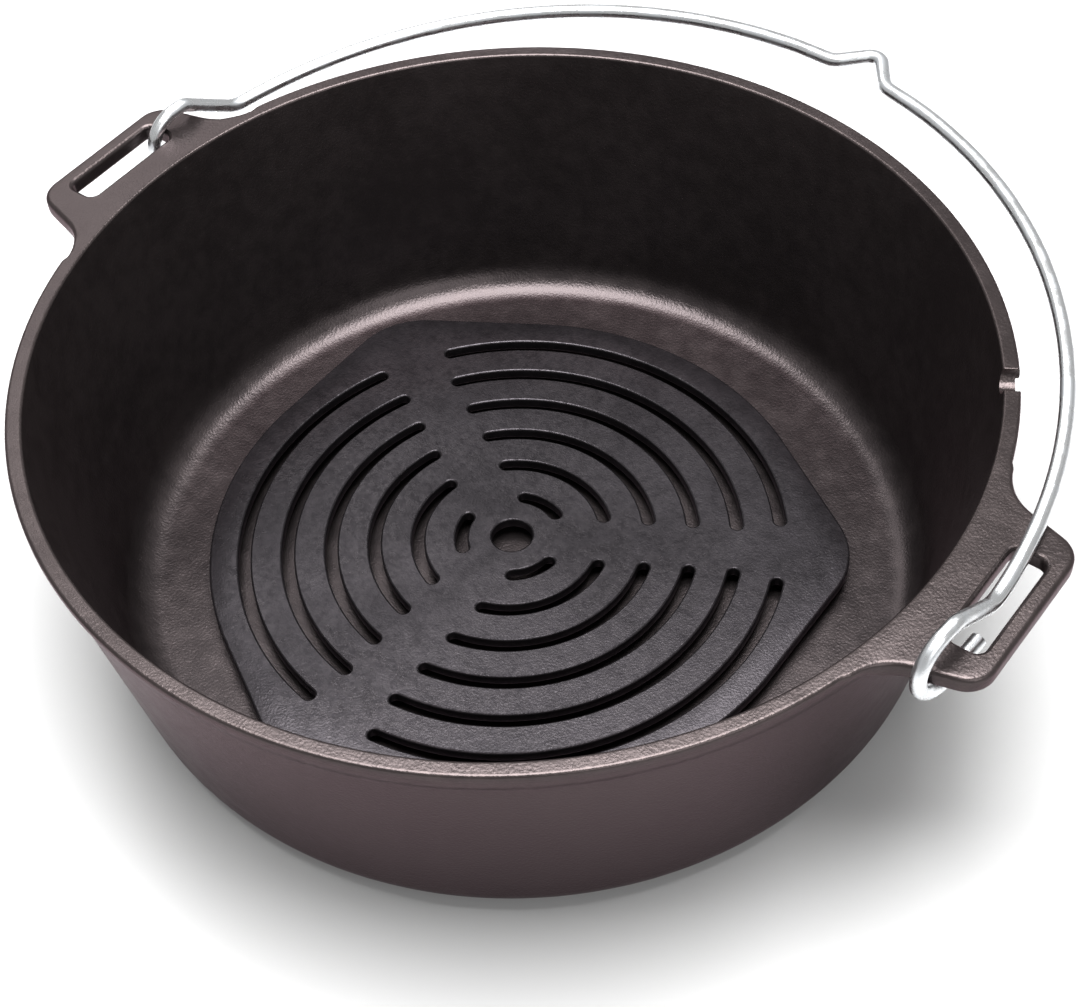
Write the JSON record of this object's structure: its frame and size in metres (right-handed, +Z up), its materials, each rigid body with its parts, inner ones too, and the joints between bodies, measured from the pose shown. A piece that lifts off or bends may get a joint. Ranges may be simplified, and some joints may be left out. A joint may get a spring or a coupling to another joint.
{
  "type": "cast iron dutch oven",
  "caption": "Round cast iron pot with slotted side lugs, a swinging wire bail and a loose slotted grate standing on its floor.",
  "frame": {"origin": "middle of the pot's flat underside", "axes": "+Z up, +X out through one lug, the bail lies down towards +Y"},
  "size_m": [0.3646, 0.3361, 0.1195],
  "materials": {
    "seasoned_iron": "matt seasoned sand casting, dark brown-grey, fine grain",
    "grate_iron": "matt seasoned sand casting, blue-grey",
    "plated_wire": "bright zinc plate on drawn steel wire"
  },
  "bodies": {
    "pot": {"pot": "seasoned_iron"},
    "bail": {"bail": "plated_wire"},
    "grate": {"grate": "grate_iron"}
  },
  "joints": [
    {"name": "bail_swing", "type": "hinge", "parent": "pot", "child": "bail", "pos_m": [0.0009, 0, 0.0992], "axis": [0.9878, -0.1543, 0.0187], "range_deg": [0, 164]},
    {"name": "grate_lift", "type": "slide", "parent": "pot", "child": "grate", "axis": [0, 0, 1], "range_m": [0, 0.15]}
  ]
}
